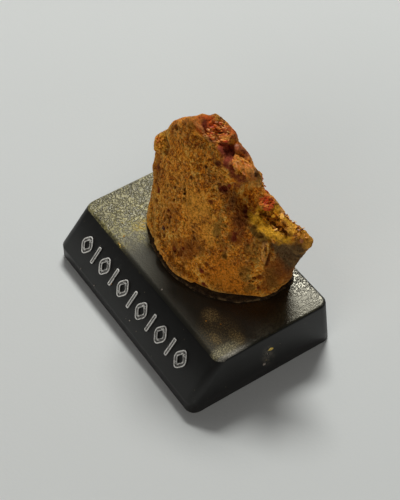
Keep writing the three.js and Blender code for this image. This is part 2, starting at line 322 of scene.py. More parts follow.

# tones of the stains, the crystals and the crumbs, some painted shade, some painted highlight
tone = {
    "warm": (0.92, 0.3, 0.024),
    "bright": (0.98, 0.43, 0.055),
    "brown": (0.36, 0.105, 0.015),
    "darkBrown": (0.19, 0.062, 0.016),
    "purple": (0.41, 0.08, 0.04),
    "maroon": (0.27, 0.042, 0.018),
    "red": (0.8, 0.13, 0.02),
    "crimson": (0.72, 0.085, 0.022),
    "violet": (0.12, 0.016, 0.03),
    # painted highlight tone of lit ridges and crystals
    "pink": (1.0, 0.42, 0.14),
    "orange": (1.0, 0.34, 0.05),
    "amber": (1.0, 0.48, 0.05),
    "lemon": (1.0, 0.5, 0.028),
    "straw": (0.98, 0.43, 0.04),
    "olive": (0.26, 0.125, 0.018),
    "grey": (0.15, 0.088, 0.036),
    "greyGreen": (0.34, 0.175, 0.03),
    # painted shade of holes
    "hole": (0.04, 0.01, 0.003),
    "slate": (0.1, 0.05, 0.05),
    # a painted highlight tone
    "rose": (1.0, 0.5, 0.36),
    "cream": (1.0, 0.76, 0.2),
    "ash": (0.5, 0.44, 0.38),
}

# stains, with painted shade and painted highlights among them, laid one over another: tone, how strong,
# radius and path, in millimetres
stainsAndPaintedLight = [
    ("warm", 0.55, 2, (11.2, 1.1, 15.7), (13.1, 2.2, 14.8)),
    ("warm", 0.55, 1.5, (9.5, 0.8, 18.1), (13.4, 3.3, 18.2)),
    ("warm", 0.55, 1.4, (9.4, -0.8, 14.2), (15.3, 4.1, 11.6)),
    ("warm", 0.4, 1.6, (-1, -3.6, 12.6), (5, -3.2, 12.4)),
    ("bright", 0.5, 1.9, (1.4, 0.7, 26.2), (4.9, 1.6, 26.1)),
    ("bright", 0.5, 1.5, (7.1, 1.9, 23.9), (6.9, 1.3, 22.4)),
    ("bright", 0.4, 1.5, (-3.7, 1.2, 29.4), (2, 2, 28.7)),
    ("bright", 0.35, 1.2, (-7.6, -2.4, 16.1), (-5.5, -3, 13.6)),
    ("bright", 0.4, 2, (2, 1, 26.6), (3.6, 0.2, 22.8), (6.4, 0.6, 20.6)),
    ("bright", 0.35, 1.6, (-6.2, 0.2, 26), (-5.8, -0.8, 21.4)),
    ("brown", 0.55, 1.7, (1, -2.7, 16.3), (5.4, -0.9, 18.8)),
    ("brown", 0.45, 1.2, (3.4, -2.8, 15.2), (4.1, -1.9, 17.4)),
    ("brown", 0.4, 1.7, (-2.3, -0.9, 23.6), (-2.7, -1.6, 20.5)),
    ("brown", 0.45, 0.9, (-10.6, 1.2, 29.6), (-10.8, 0.8, 26.6), (-9.4, -0.2, 22)),
    ("brown", 0.35, 1.4, (-7.6, 3.6, 36.6), (-6.8, 3, 34)),
    ("brown", 0.45, 1.4, (6.6, 6.2, 30.6), (10.9, 6.2, 28), (11.4, 3.9, 23.6)),
    ("darkBrown", 0.45, 0.9, (9.6, 4.4, 26.6), (11.2, 5.6, 26.9)),
    ("greyGreen", 0.5, 0.8, (10, 2.1, 20.3), (9.4, 2.2, 21.5)),
    ("greyGreen", 0.45, 1.1, (14.4, 4.1, 17.8), (14.2, 3.5, 16.1)),
    ("greyGreen", 0.5, 0.7, (15, 3.8, 12.8), (14.9, 4.4, 13.6)),
    ("greyGreen", 0.5, 1.2, (14.9, 6.2, 23.8), (14.1, 5.3, 21.9), (14.8, 5.6, 20.1)),
    ("brown", 0.3, 1.3, (6.6, 5.2, 29.6), (9.6, 5.6, 28.2), (10.8, 5.1, 26.6), (11.6, 4.7, 25),
        (11.3, 4, 23.6)),
    ("maroon", 0.18, 0.8, (9.8, 5.6, 27.9), (10.8, 5.1, 26.4), (11.5, 4.6, 24.6)),
    ("grey", 0.42, 0.75, (7.9, 6.6, 30.9), (8.2, 5.2, 29), (8.1, 4.4, 28)),
    ("greyGreen", 0.6, 0.7, (7.6, 3.4, 26.2), (7.9, 2.6, 24.6), (7.8, 2, 23.4)),
    ("grey", 0.5, 0.55, (0.8, 6.1, 36.3), (2.6, 6, 34.7)),
    ("grey", 0.55, 0.7, (-10.3, 3, 33.8), (-9.5, 2.6, 33), (-8.3, 2.7, 32.5)),
    # the grey and brown on the lower right facet are its tone, partly painted shade since that facet turns
    # from the light
    ("grey", 0.92, 1.4, (17.8, 8.9, 23.5), (19.4, 10, 24), (21.2, 12.4, 25)),
    ("grey", 0.9, 1.8, (20.1, 11.1, 21.8), (19.1, 9.7, 21.7), (19.9, 10.4, 19.8)),
    ("brown", 0.7, 1.7, (17.7, 8.1, 19.7), (18.7, 8.5, 16.2), (19.3, 9.7, 16.6)),
    ("brown", 0.55, 1.4, (16.6, 7.3, 19), (17.4, 7.4, 16.4), (16.6, 6.4, 13.6)),
    ("greyGreen", 0.4, 1, (17.4, 7.6, 17.6), (17.8, 7.6, 14.6)),
    ("darkBrown", 0.5, 0.8, (18.3, 8.4, 17.8), (19.5, 9.9, 18.6)),
    # brown and maroon under the orange ledge, partly painted shade
    ("brown", 0.3, 0.9, (6, 7.4, 33.5), (9.1, 8.8, 33.6)),
    ("maroon", 0.6, 0.8, (6, 7.4, 33.7), (7.7, 8.3, 33.4), (7.4, 7.3, 32.3)),
    ("purple", 0.8, 1.15, (2.2, 7.8, 37.4), (3.4, 7.6, 36.4), (4.4, 7.3, 35.2)),
    ("purple", 0.85, 0.9, (2.5, 8.5, 37.8), (3.3, 8.8, 37.3), (4.9, 8.1, 36.6)),
    ("maroon", 0.8, 0.5, (4.4, 7.6, 35.2), (5.5, 7.3, 34.4)),
    ("purple", 0.95, 1, (4.4, 9.7, 38.3), (5.2, 9.8, 38), (6, 10.2, 37.4)),
    ("maroon", 0.8, 0.5, (5.6, 9.6, 37.7), (6, 10, 37.3)),
    # painted highlight on the top of the knob
    ("rose", 0.95, 0.28, (3.9, 9.6, 38.7), (4.3, 9.9, 38.9)),
    ("red", 0.85, 1.9, (-3, 7.3, 39.8), (-0.8, 9, 39.2), (1.1, 10, 38.7)),
    ("maroon", 0.8, 0.5, (-3.2, 7.4, 39.9), (-2.2, 7.3, 39.6)),
    ("maroon", 0.8, 0.6, (-0.9, 8.4, 39.2), (0.9, 9.6, 38.9)),
    # painted highlights along the raised ridges of the dome
    ("pink", 0.8, 0.32, (-3.6, 6, 39.9), (-1.6, 6.6, 38.9), (0.2, 8.1, 38.9), (2.3, 9.2, 38.7)),
    ("pink", 0.8, 0.3, (-1.2, 6.4, 38.4), (0.1, 6.8, 38), (1.8, 8.4, 38.3), (2.6, 9.2, 38.2)),
    ("amber", 0.85, 0.55, (-2.3, 9.9, 39.4), (-1.2, 10.2, 39.3)),
    ("amber", 0.85, 0.4, (2.6, 9.6, 38.7), (2.7, 9.3, 38.4)),
    ("orange", 0.5, 0.9, (-8.2, 4.8, 37.4), (-5.4, 5.6, 39.4), (-3.2, 6.6, 40.2)),
    ("olive", 0.45, 0.6, (-4.2, 5.1, 39.2), (-3.6, 5.2, 39.1)),
    ("orange", 0.95, 1.1, (5.6, 8.9, 37.2), (6.9, 9.2, 36.3), (7.7, 10.4, 36.1)),
    ("orange", 0.95, 1, (6.5, 7.9, 36.2), (7.8, 8.8, 35.5), (9, 9.6, 34.8)),
    # painted highlight along the orange ridge
    ("pink", 0.75, 0.28, (5.9, 8.2, 36.9), (7.2, 8.6, 35.9), (8.2, 9.4, 35.4)),
    ("red", 0.8, 0.25, (6, 8.4, 36.6), (7.6, 9.6, 36.1), (8, 10, 35.7)),
    ("grey", 0.65, 0.7, (8.7, 11.1, 34.8), (9.8, 11, 34.5)),
    # painted highlight by the knob
    ("pink", 0.45, 0.5, (9, 9.7, 34.8), (9.7, 10.1, 34.5)),
    ("crimson", 0.95, 0.8, (12.6, 10.2, 31.9), (13.4, 10.4, 31.5), (14.1, 10.1, 30.8)),
    ("violet", 0.9, 0.45, (12.6, 9.2, 31.1), (13, 9.3, 30.6)),
    ("amber", 0.75, 0.5, (11.9, 10.2, 32.3), (12.6, 10.7, 32.4)),
    ("straw", 0.75, 2.4, (13.6, 9.8, 27.4), (17, 10.6, 27.8)),
    ("lemon", 0.95, 1.15, (12, 8.6, 28.8), (12.4, 8, 27.4), (13.2, 8.4, 26.4), (15.3, 9, 25.7)),
    ("lemon", 0.85, 0.85, (12.9, 8.2, 27.6), (13.9, 8.4, 26.5), (15, 9.2, 26)),
    ("lemon", 0.9, 0.9, (15.3, 9.3, 25.5), (17.2, 9.9, 25.4)),
    ("lemon", 0.85, 0.65, (15.3, 8.7, 25.9), (16.8, 9.3, 25.4), (18.7, 10.3, 26.2)),
    ("lemon", 0.8, 0.75, (14.6, 10.8, 30.4), (15.6, 11.1, 30), (16.6, 11.7, 29), (17.9, 11.8, 28.4)),
    ("lemon", 0.7, 0.45, (18.6, 11, 27.5), (19.2, 11.6, 27.8)),
    # brown inside the pocket and dark brown along its slit, partly painted shade
    ("brown", 0.75, 0.8, (13.9, 10.2, 27.6), (15.6, 10.6, 28), (17.2, 10.6, 27.7)),
    ("darkBrown", 0.8, 0.4, (14.8, 10.4, 25.8), (15.8, 10.8, 25.7), (18.4, 10.7, 26.7)),
    ("olive", 0.8, 0.85, (13.5, 6.7, 26.5), (14.6, 6.8, 25.6), (15.4, 7.1, 25.2)),
    ("straw", 0.8, 1.4, (19.1, 12.6, 28), (20.5, 12.8, 27.4), (21.4, 13.1, 26.3)),
    ("brown", 0.15, 0.8, (20, 11.9, 26.8), (21.2, 12.9, 26.4)),
    # painted shade in a hole at the tip
    ("hole", 0.85, 0.24, (20.2, 12.7, 27.8), (20.4, 12.9, 27.7)),
    # dark brown in the carved groove, partly painted shade
    ("darkBrown", 0.9, 0.26, (16.4, 7.9, 25), (17, 8.1, 23.4), (16.8, 7.4, 21.2), (16.6, 7, 19.4)),
    # painted highlight on the ridge beside the groove
    ("pink", 0.45, 0.35, (15.9, 7.2, 24.5), (16, 6.7, 21.9), (16.3, 6.7, 20.6)),
    # painted light on the left knob, where the window light falls
    ("amber", 0.95, 1.2, (-10.4, 1.6, 33.4), (-10.3, 1.4, 31.8)),
    # painted highlight along the lower left edge
    ("straw", 0.9, 0.55, (-11.6, -1.2, 18.4), (-11.4, -1.6, 15.6), (-10.2, -2.4, 14.4), (-8.6, -2.8, 13.2)),
    ("bright", 0.6, 0.55, (-4.4, -3.7, 13.6), (-0.4, -4.2, 12.4), (3.4, -4.2, 12), (6, -3.4, 11.9)),
    # painted light on the left knob
    ("amber", 0.85, 0.4, (-10, 1.6, 31.2), (-9.3, 1.9, 31.4)),
    ("red", 0.8, 0.28, (-10.4, 1.6, 33.3), (-9.8, 1.8, 32.9), (-10.3, 1.3, 32.3)),
    ("maroon", 0.85, 0.6, (5.7, 5.4, 31.3), (5.9, 5.5, 31)),
    ("maroon", 0.8, 0.35, (2.9, 6.2, 34.6), (3, 6.2, 34.4)),
    ("maroon", 0.75, 0.32, (6.3, 6.2, 31.9), (6.4, 6.2, 31.6)),
    ("maroon", 0.75, 0.3, (4.9, 3, 28.6), (5, 3, 28.4)),
    ("maroon", 0.85, 0.42, (-8.6, -0.4, 22.1), (-8.5, -0.5, 21.9)),
    ("maroon", 0.8, 0.36, (-10.4, 1.1, 26.2), (-10.4, 1, 26)),
    ("maroon", 0.8, 0.28, (16.1, 5.3, 14), (16.3, 5.4, 13.4)),
    ("maroon", 0.7, 0.45, (7.4, -1.6, 15.1), (7.7, -1.5, 14.7)),
    ("maroon", 0.7, 0.4, (8.4, -1.9, 12.2), (9, -1.7, 12)),
    # painted shade in the holes and pits below
    ("hole", 0.95, 0.26, (15.5, 5, 15.9), (15.4, 4.9, 15.8)),
    ("hole", 0.95, 0.22, (15.1, 4.4, 15.1), (15, 4.3, 15.1)),
    ("hole", 0.75, 0.22, (-0.9, 1.1, 28.7), (-0.8, 1, 28.2), (-0.5, 0.8, 27.3)),
    ("hole", 0.75, 0.22, (-0.1, 0.4, 26.6), (0, 0.4, 26.3)),
    ("hole", 0.8, 0.36, (-7, 3.8, 37.5), (-6.9, 3.7, 37.3)),
    ("hole", 0.9, 0.26, (9.3, 10.4, 35), (9.4, 10.3, 34.8)),
    ("hole", 0.8, 0.28, (-9.6, 1.8, 32.7), (-9.4, 1.9, 32.6)),
    ("slate", 0.8, 0.42, (-4.2, -2.7, 17.7), (-4, -2.8, 17.3)),
]

# raised and carved work: height (below 0 it is cut in), radius and path, in millimetres
reliefs = [
    (0.75, 0.85, (-4.4, -3.5, 13.9), (-2.1, -3.7, 13.2), (-0.4, -3.8, 12.6)),
    (0.85, 0.9, (1.3, -4, 12.4), (3.4, -3.9, 12), (5.6, -3.4, 11.9)),
    (0.45, 0.7, (-10.9, -1.7, 16.4), (-9.4, -2.6, 14), (-7.6, -3, 13)),
    (0.6, 0.75, (12, 8.3, 28.2), (12.9, 8.7, 26.7), (14.3, 9, 25.9), (15.6, 9.4, 25.5),
        (17.2, 9.9, 25.4)),
    (0.6, 0.8, (5.9, 8.8, 37), (7, 9, 36.3), (8.1, 9.4, 35.4)),
    (0.25, 0.6, (4.3, 9.8, 38.4), (5.2, 9.9, 38.2)),
    (0.35, 0.4, (-3.6, 6, 39.4), (-1.6, 6.6, 38.9), (0.2, 8.1, 38.9), (2.3, 9.2, 38.5)),
    (0.3, 0.35, (-1.2, 6.4, 38.4), (0.1, 6.8, 38), (1.8, 8.4, 38.3)),
    (-0.35, 0.5, (-1.4, 7.2, 39.1), (0.4, 8.6, 39), (1.6, 9.4, 38.8)),
    (-0.4, 0.45, (3.4, 9.2, 38), (4.2, 8.8, 37.4), (5.2, 8, 36.2), (5.8, 7.4, 35)),
    (0.3, 0.3, (5.9, 8.2, 36.9), (7.2, 8.6, 35.9), (8.2, 9.4, 35.4)),
    (-0.3, 0.28, (6, 8.6, 36.6), (7.6, 9.7, 36.1)),
    (-0.4, 0.36, (15.2, 10.6, 25.7), (16.8, 10.7, 26.1), (18.6, 10.8, 26.9)),
    (0.8, 1.5, (-2.4, 10.3, 38.8), (-0.3, 10.6, 38.2), (1.5, 10.3, 38.2)),
    (-0.45, 0.6, (13.9, 10.2, 27.6), (15.6, 10.6, 28.2)),
    (-0.45, 0.4, (16.2, 10.4, 27), (17.4, 10.8, 27.8)),
    (0.35, 0.4, (14.3, 9.4, 26.2), (16, 9.9, 26), (18.4, 10.4, 26.9)),
    (0.35, 0.35, (13.2, 9.6, 28.6), (15, 10.4, 28.9)),
    (-0.5, 0.26, (16.4, 7.9, 25), (17, 8.1, 23.4), (16.8, 7.4, 21.2), (16.6, 7, 19.4)),
    (-0.25, 0.2, (16.2, 7.3, 24), (16.4, 7, 22.4)),
    (0.28, 0.35, (15.9, 7.2, 24.3), (16.1, 6.7, 21.9), (16.3, 6.7, 20.6)),
    (0.22, 0.3, (17.6, 8.4, 23), (17.6, 8, 20.8)),
    (-0.45, 0.6, (13.5, 6.7, 26.5), (14.8, 6.9, 25.6)),
    (-0.35, 0.45, (-10.3, 3, 33.6), (-9.3, 2.6, 32.9), (-8.5, 2.6, 32.3), (-8.6, 2, 30.8)),
    (-0.4, 0.28, (-9.6, 1.8, 32.7), (-9.4, 1.9, 32.6)),
    (0.25, 0.3, (-10.9, 1.3, 33.3), (-10.2, 1.2, 32.5), (-10.4, 1.3, 31.6)),
    (-0.22, 0.25, (-10.9, 1.1, 30.2), (-10.6, 1.1, 29.2), (-11.2, 1.2, 28)),
    (-0.5, 0.2, (15.5, 5, 15.9), (15.4, 4.9, 15.8)),
    (-0.45, 0.18, (15.1, 4.4, 15.1), (15, 4.3, 15.1)),
    (0.5, 0.8, (21.3, 12.8, 25.6), (22, 13, 24.9)),
    (-0.35, 0.2, (-0.9, 1.1, 28.7), (-0.8, 1, 28.2), (-0.5, 0.8, 27.3)),
    (-0.3, 0.2, (-0.1, 0.4, 26.6), (0, 0.4, 26.3)),
    (-0.45, 0.35, (-7, 3.8, 37.5), (-6.9, 3.7, 37.3)),
    (-0.4, 0.24, (9.3, 10.4, 35), (9.4, 10.3, 34.8)),
    (-0.22, 0.4, (5.7, 5.4, 31.3), (5.9, 5.5, 31)),
    (0.16, 0.24, (-3.4, -1, 23.9), (-2.6, -0.7, 24.5), (-1.6, -0.6, 24.1), (-1.2, -0.9, 23.2),
        (-1.8, -1.2, 22.4)),
    (-0.25, 0.45, (-2.6, -1, 23.4), (-2.2, -1.1, 23.1)),
    (-0.22, 0.26, (-3.3, -1.4, 21.6), (-2.2, -1.6, 20.9), (-1.2, -1.4, 20.6)),
    (-0.22, 0.22, (-3.9, -1.7, 20.4), (-2.6, -2, 19.6)),
    (-0.2, 0.25, (-4.2, -2.7, 17.7), (-4, -2.8, 17.3)),
    (0.22, 0.45, (-7.9, -2.2, 17.8), (-7, -2.7, 15.2), (-4.4, -3.6, 13.4), (-2.3, -4, 12.9)),
    (-0.25, 0.4, (-6.6, -2.4, 17.6), (-5.6, -2.9, 15.8), (-3.6, -3.5, 14.4)),
    (-0.25, 0.4, (0.6, -3, 15.6), (2.2, -3.1, 14.8), (3.6, -3, 14.2)),
    (-0.2, 0.3, (6.6, -1.4, 15.8), (7.8, -1.5, 15), (8.2, -1.7, 14)),
    (-0.22, 0.26, (16.1, 5.3, 14.2), (16.5, 5.5, 13.2)),
    (-0.28, 0.26, (20.2, 12.7, 27.6), (20.4, 12.9, 27.5)),
    (-0.18, 0.3, (10.6, 5.2, 26.4), (11.4, 5.2, 25.2), (11, 4.3, 24.2)),
    (-0.16, 0.35, (8, 5.9, 30), (8.2, 4.7, 28.4)),
]

# dark pits and grains of each tone: radius, x, y and z, in millimetres
pits = {
    "darkBrown": [
        (0.4, -10.1, 1, 26.4), (0.4, -7.4, 3.9, 37.3), (0.44, 3, 6.3, 34.7), (0.34, 1.2, 4.6, 33.5),
        (0.26, 0.3, 5.1, 35.2), (0.24, -8.1, 0.8, 26.5), (0.34, -5.8, 0.2, 25.6), (0.28, -3.1, 0.4, 27.1),
        (0.24, -3.1, 0.9, 28.1), (0.26, 2.1, 2.3, 29.4), (0.28, 4.9, 5.1, 31.8), (0.34, -0.2, 2.2, 31),
        (0.26, -5.6, -2.4, 17.3), (0.24, 5.2, 1.2, 24.4), (0.26, 3.3, -0.2, 22.5), (0.34, 3.6, -0.3, 21.4),
        (0.28, -1, -2.2, 18.6), (0.44, 4, -0.6, 20.3), (0.34, 5.7, -0.7, 19.2), (0.26, 0, -3.9, 13.6),
        (0.28, 8.1, 2.1, 22.6), (0.28, 9.7, 5.4, 27.9),
    ],
    "olive": [
        (0.38, 8.9, 3.4, 25.1), (0.52, 13.8, 6.9, 25.3), (0.48, 14.7, 7.1, 25), (0.48, 10.4, 2, 19.2),
        (0.36, 14.3, 4.1, 17.6), (0.36, 13.7, 3.2, 16.5), (0.36, 13.4, 5.1, 22.9),
    ],
    "maroon": [
        (0.52, -8.8, -0.2, 22), (0.72, 5.8, 5.6, 31), (0.3, 6.3, 6.3, 31.8), (0.4, -3.1, 7.6, 39.6),
        (0.52, -2.4, 7.3, 39.3), (0.52, -1.5, 9.1, 39), (0.52, -1.4, 9.9, 38.5), (0.48, 0, 7, 38.2),
        (0.3, -3.8, -1.2, 21.6), (0.3, -2.8, -1.4, 20.6), (0.36, 0.3, -2.9, 15.4), (0.3, 2.7, -2.3, 17.2),
        (0.28, 7.4, -1.4, 14.8), (0.32, 8.6, -1.9, 12.5), (0.36, 10.3, 7.1, 29.4), (0.44, 10.8, 6.8, 28.7),
        (0.4, 11.4, 6.5, 28), (0.4, 10.8, 4.1, 24.4), (0.48, 11.1, 3.9, 23.5), (0.26, 16, 5.3, 13.5),
    ],
    # pits painted near black, a painted shade
    "hole": [
        (0.28, -1, 1.1, 27.9), (0.3, -0.8, 0.9, 27.1), (0.24, -0.3, 0.5, 26.4), (0.26, 0.6, -3.1, 15.1),
        (0.24, 5.4, -1.6, 17), (0.24, 15.5, 5.2, 15.7), (0.22, 15.3, 4.7, 15),
    ],
    "red": [(0.32, -2, 6, 39.1), (0.36, 0.3, 10.1, 38.7)],
    "slate": [(0.36, -3.7, -2.4, 17.5)],
    "brown": [
        (0.24, -3.4, 2.1, 32.1), (0.3, 2.8, 3, 30.6), (0.34, 4.9, 3, 28.5), (0.48, -1.2, -1.1, 22.9),
        (0.44, -8.5, -1.1, 20.1), (0.44, -3.3, -3, 16), (0.6, 2.2, -2.7, 15.6), (0.4, 8, -0.6, 16.5),
        (0.48, 8.7, -1.2, 14.7), (0.32, 4.4, -3.6, 13.2), (0.56, 16, 5.8, 16.3), (0.24, 13.3, 2.1, 12.3),
    ],
}

# crests that lean back out of the light's way: depth, reach and place, in millimetres;
# below 0 the skin there is drawn forward
leans = [
    (4.6, 5, (12.4, 11, 31.8)),
    (4.3, 2.4, (14.9, 11.8, 30.8)),
    (2.4, 2, (17.2, 12.3, 28.9)),
    (2.8, 2.8, (8.2, 10.6, 36)),
    (4.2, 2.9, (5, 10.3, 38.6)),
    (2.8, 3, (1.4, 10.2, 39.3)),
    (-1.6, 1.8, (12.8, 9.2, 28.5)),
    (-2.5, 1.6, (8.1, 8.5, 34.9)),
]
leanWay = (-0.586, 0.329, -0.741)

crystalBeds = [  # where blades crowd: centre and reach in millimetres, their lie, tones, count
    # peach blades are a painted highlight
    ((-0.7, 8.4, 39.1), (3.1, 2.5, 1.4), (0.79, 0.6, -0.06),
     ("orange", "orange", "pink", "red", "amber", "crimson"), 170),
    ((7.1, 9, 36), (2.2, 1.6, 1.6), (0.78, 0.2, -0.58),
     ("amber", "orange", "orange", "pink", "amber"), 110),
    ((13.2, 10, 31.2), (1.5, 1.2, 1.3), (0.59, 0.74, 0.32), ("crimson", "red", "red", "orange"), 70),
    ((-10.2, 1.6, 32.4), (1, 1, 1.4), (0.6, 0, 0.8), ("orange", "amber", "straw"), 34),
    ((-8.4, 10, 34), (3.4, 2.8, 3), (0.7, 0.3, 0.6), ("red", "orange", "crimson"), 120),
    ((9.6, 13.4, 31), (3.4, 2.6, 3), (0.6, 0.1, -0.8), ("orange", "red", "amber"), 120),
]

flakeBeds = [
    ((15, 10.4, 27.9), (2.6, 2.2, 1.7), (0, 0, 0), ("lemon", "lemon", "straw", "brown"), 80),
    ((19.8, 12.2, 27.2), (1.8, 1.2, 1.2), (0, 0, 0), ("straw", "straw", "brown"), 20),
    ((16, 14.2, 24.4), (3, 2, 3), (0, 0, 0), ("lemon", "straw"), 40),
]

roughBeds = [  # where the broken faces are pitted: centre and reach in millimetres
    ((-3, -1.4, 21.6), (4.5, 3, 4.5)),
    ((3, -2.6, 16.4), (4.6, 3, 3.2)),
    ((14.6, 5.4, 20.6), (3.2, 3, 4.5)),
    ((-9.6, 0.8, 25), (2.6, 3, 5)),
]


def smooth(value):
    value = np.clip(value, 0.0, 1.0)
    return value * value * (3.0 - 2.0 * value)


def farFrom(points, path):
    # how far each point is from a path, all in millimetres
    nearest = np.full(len(points), 1e9)
    for a, b in zip(path[:-1], path[1:]):
        a, b = np.array(a), np.array(b)
        along = np.clip((points - a) @ (b - a) / max(1e-9, (b - a) @ (b - a)), 0.0, 1.0)
        nearest = np.minimum(nearest, np.linalg.norm(points - a - along[:, None] * (b - a), axis=1))
    return nearest


def swaying(points, drifts):
    # how far smooth random drifts, one after another, carry each point
    carried = points
    for reach, size in drifts:
        drift = [noise.noise_vector(Vector(p) / size) for p in carried]
        carried = carried + np.array(drift) * reach
    return carried - points


def weighIn(piece, name, shares):
    group = piece.vertex_groups.new(name=name)
    for i in np.nonzero(shares > 0.004)[0]:
        group.add([int(i)], float(shares[i]), "REPLACE")
    return group.name


def cloud(name, kind, size, **settings):
    texture = bpy.data.textures.new(name, type=kind)
    texture.noise_scale = size * mm
    for key, value in settings.items():
        setattr(texture, key, value)
    return texture


def displace(piece, texture, depth, middle=0.5, group=""):
    applyModifier(piece, "DISPLACE", texture=texture, strength=depth * mm, mid_level=middle,
                  vertex_group=group, texture_coords="LOCAL")


def carve(piece, calm):
    # pushes the skin out and in along its normals by the reliefs, and sinks the pits
    points = pointsOf(piece)
    drift = swaying(points, stone["carveSway"])
    height = np.zeros(len(points))
    sunk = [(-stone["pitDeep"] * radius, radius * stone["pitWide"], at, at)
            for spots in pits.values() for radius, *at in spots]
    for rise, radius, *path in reliefs + sunk:
        far = farFrom(points + drift * min(1.0, radius), path)
        height += rise * smooth(1.6 - far / radius)
    height = np.clip(height, -stone["mostCarved"], stone["mostCarved"]) * calm
    movePoints(piece, points + pointsOf(piece, "normal") * height[:, None])


def leanBack(points):
    # moves points along leanWay: the deepest lean counts, and what is drawn forward is added
    way = np.array(leanWay)
    depth = np.zeros(len(points))
    for amount, reach, at in leans:
        offset = points - np.array(at)
        far = np.linalg.norm(offset - (offset @ way)[:, None] * way, axis=1)
        share = smooth(1.5 - far / reach)
        depth = np.maximum(depth, amount * share) if amount > 0 else depth + amount * share
    return points + depth[:, None] * way


def layStainsAndPaintedLight(piece):
    # lays the stains, with the painted shade and highlights among them, on the skin as a colour with its
    # share
    points = pointsOf(piece)
    drift = swaying(points, stone["stainSway"])
    colour = np.zeros((len(points), 3))
    share = np.zeros(len(points))
    dots = [(name, stone["pitStain"], radius, at, at)
            for name, spots in pits.items() for radius, *at in spots]
    for name, strength, radius, *path in stainsAndPaintedLight + dots:
        far = farFrom(points + drift * min(1.0, radius), path)
        over = strength * smooth(1.35 - far / radius * 0.8)
        colour = colour * (1.0 - over)[:, None] + np.array(tone[name]) * over[:, None]
        share = share * (1.0 - over) + over
    colour /= np.maximum(share, 1e-6)[:, None]
    layer = piece.data.color_attributes.new("stainsAndPaintedLight", "FLOAT_COLOR", "POINT")
    layer.data.foreach_set("color", np.column_stack([colour, share]).ravel())


def feelRelief(piece):
    # how far each point stands above (1) or below (0) the skin round it
    edges = np.empty(len(piece.data.edges) * 2, dtype=np.int32)
    piece.data.edges.foreach_get("vertices", edges)
    a, b = edges.reshape(-1, 2).T
    points = pointsOf(piece)
    count = np.bincount(np.concatenate([a, b]), minlength=len(points))[:, None]
    level = points.copy()
    for step in range(stone["reliefReach"]):
        sums = [np.bincount(a, level[b, k], len(points)) + np.bincount(b, level[a, k], len(points))
                for k in range(3)]
        level = np.column_stack(sums) / count
    proud = ((points - level) * pointsOf(piece, "normal")).sum(axis=1)
    layer = piece.data.attributes.new("relief", "FLOAT", "POINT")
    layer.data.foreach_set("value", np.clip(0.5 + proud / stone["reliefRange"], 0.0, 1.0))


def bedShare(points, beds):
    share = np.zeros(len(points))
    for at, reach, *rest in beds:
        far = np.linalg.norm((points - np.array(at)) / np.array(reach), axis=1)
        share = np.maximum(share, smooth((1.35 - far) / 0.7))
    return share


def makeStone():
    crust = copyNode("stone", "stoneCrust")
    low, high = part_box("stone")
    applyModifier(crust, "SUBSURF", levels=1, render_levels=1)
    applyModifier(crust, "REMESH", mode="VOXEL", voxel_size=stone["voxel"] * mm)
    applyModifier(crust, "SMOOTH", factor=stone["merge"], iterations=2)

    points = pointsOf(crust)
    start, grown = stone["footCalm"]
    above = np.clip((points[:, 2] - low.z / mm - start) / grown, 0.0, 1.0)
    under = np.clip((high.z / mm - points[:, 2]) / stone["topCalm"], 0.0, 1.0)
    calm = above * (0.2 + 0.8 * under)  # the foot and the very top keep their height
    body = weighIn(crust, "body", calm)
    ridge = weighIn(crust, "ridge", bedShare(points, crystalBeds) * calm)
    pocket = weighIn(crust, "pocket", bedShare(points, flakeBeds) * calm)
    wild = np.array([noise.noise(Vector(p) / 5.0) for p in points])
    rough = np.clip(0.35 + wild * 0.5 + bedShare(points, roughBeds), 0.0, 1.0)
    rough = weighIn(crust, "rough", rough * calm)

    displace(crust, cloud("swell", "CLOUDS", 2.6, noise_depth=2), stone["swell"], 0.55, body)
    displace(crust, cloud("blocks", "VORONOI", 1.1, distance_metric="MANHATTAN", noise_intensity=1.4),
             -stone["blocks"], 0.45, ridge)
    displace(crust, cloud("blades", "VORONOI", 1.0, distance_metric="CHEBYCHEV", noise_intensity=1.5),
             -stone["blades"], 0.45, pocket)
    carve(crust, calm)
    displace(crust, cloud("grain", "CLOUDS", 0.55, noise_depth=2), stone["grain"], 0.55, body)
    displace(crust, cloud("grit", "CLOUDS", 1.1, noise_depth=3, noise_type="HARD_NOISE"),
             -stone["grit"], 0.3, rough)
    layStainsAndPaintedLight(crust)
    feelRelief(crust)
    movePoints(crust, leanBack(pointsOf(crust)))
    makeActive(crust)
    smoothShade(45)
    crust.data.materials.append(paintStone())
    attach(crust, "root")
    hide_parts("stone")
    print("stone crust:", len(crust.data.polygons), "faces")
    return crust


